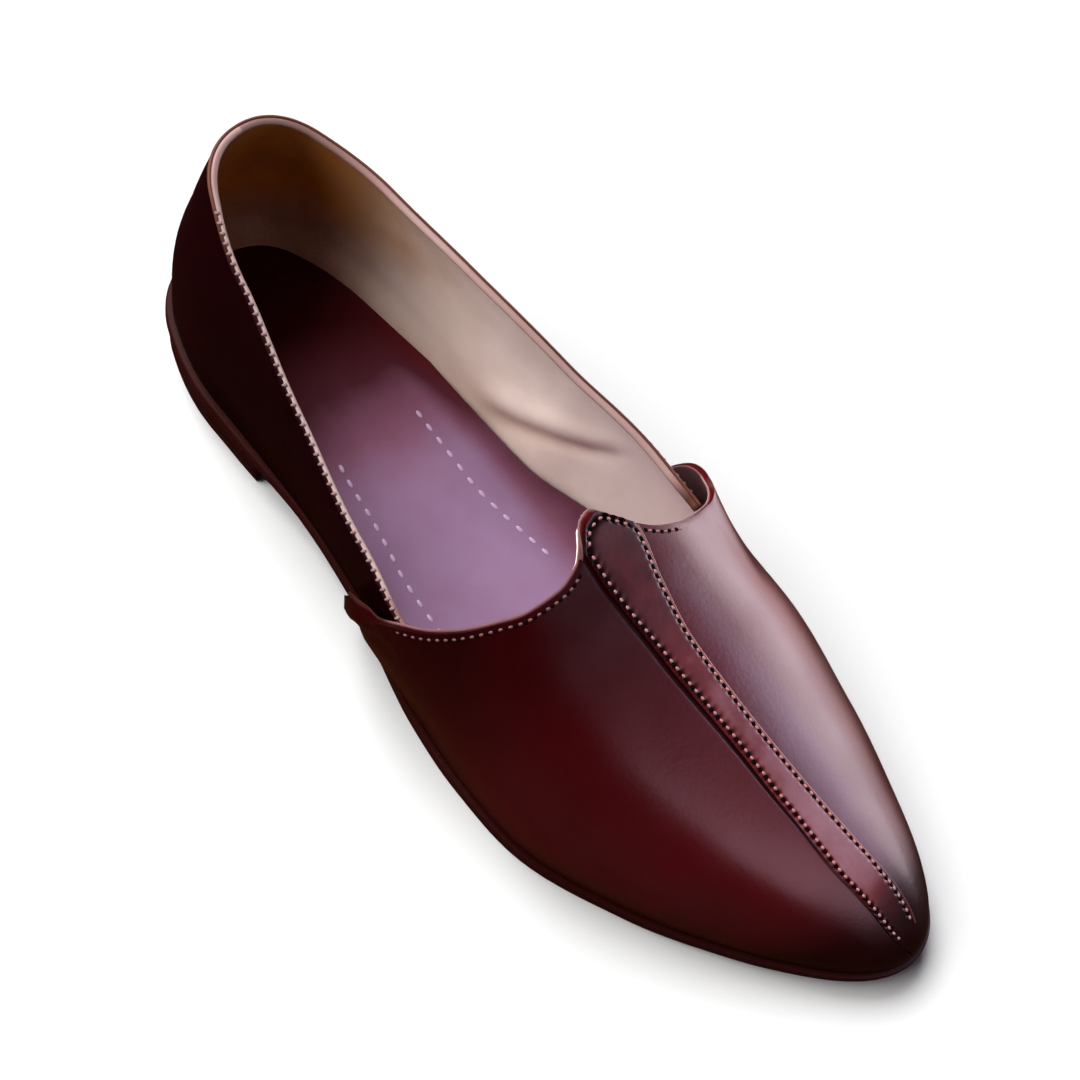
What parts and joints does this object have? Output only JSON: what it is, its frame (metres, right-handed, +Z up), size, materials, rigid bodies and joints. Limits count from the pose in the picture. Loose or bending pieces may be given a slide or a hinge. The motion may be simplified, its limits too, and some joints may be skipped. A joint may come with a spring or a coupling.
{
  "type": "khussa, low leather slip-on shoe",
  "caption": "Low leather slip-on shoe for the right foot, open collar, raised centre strip on the vamp, low heel.",
  "frame": {"origin": "on the floor, under the middle of the shoe's bounding box", "axes": "+X from heel to toe, +Y to the wearer's left, the inner side of this right shoe, +Z up from the floor"},
  "size_m": [0.2902, 0.109, 0.0845],
  "materials": {
    "upper_leather": "gloss",
    "strip_leather": "gloss",
    "sole_leather": "satin",
    "insole_leather": "satin"
  },
  "bodies": {
    "root": {"outsole": "sole_leather", "heel": "sole_leather", "insole": "insole_leather", "upper": "upper_leather", "vamp": "upper_leather", "vamp_strip": "strip_leather"}
  },
  "joints": []
}
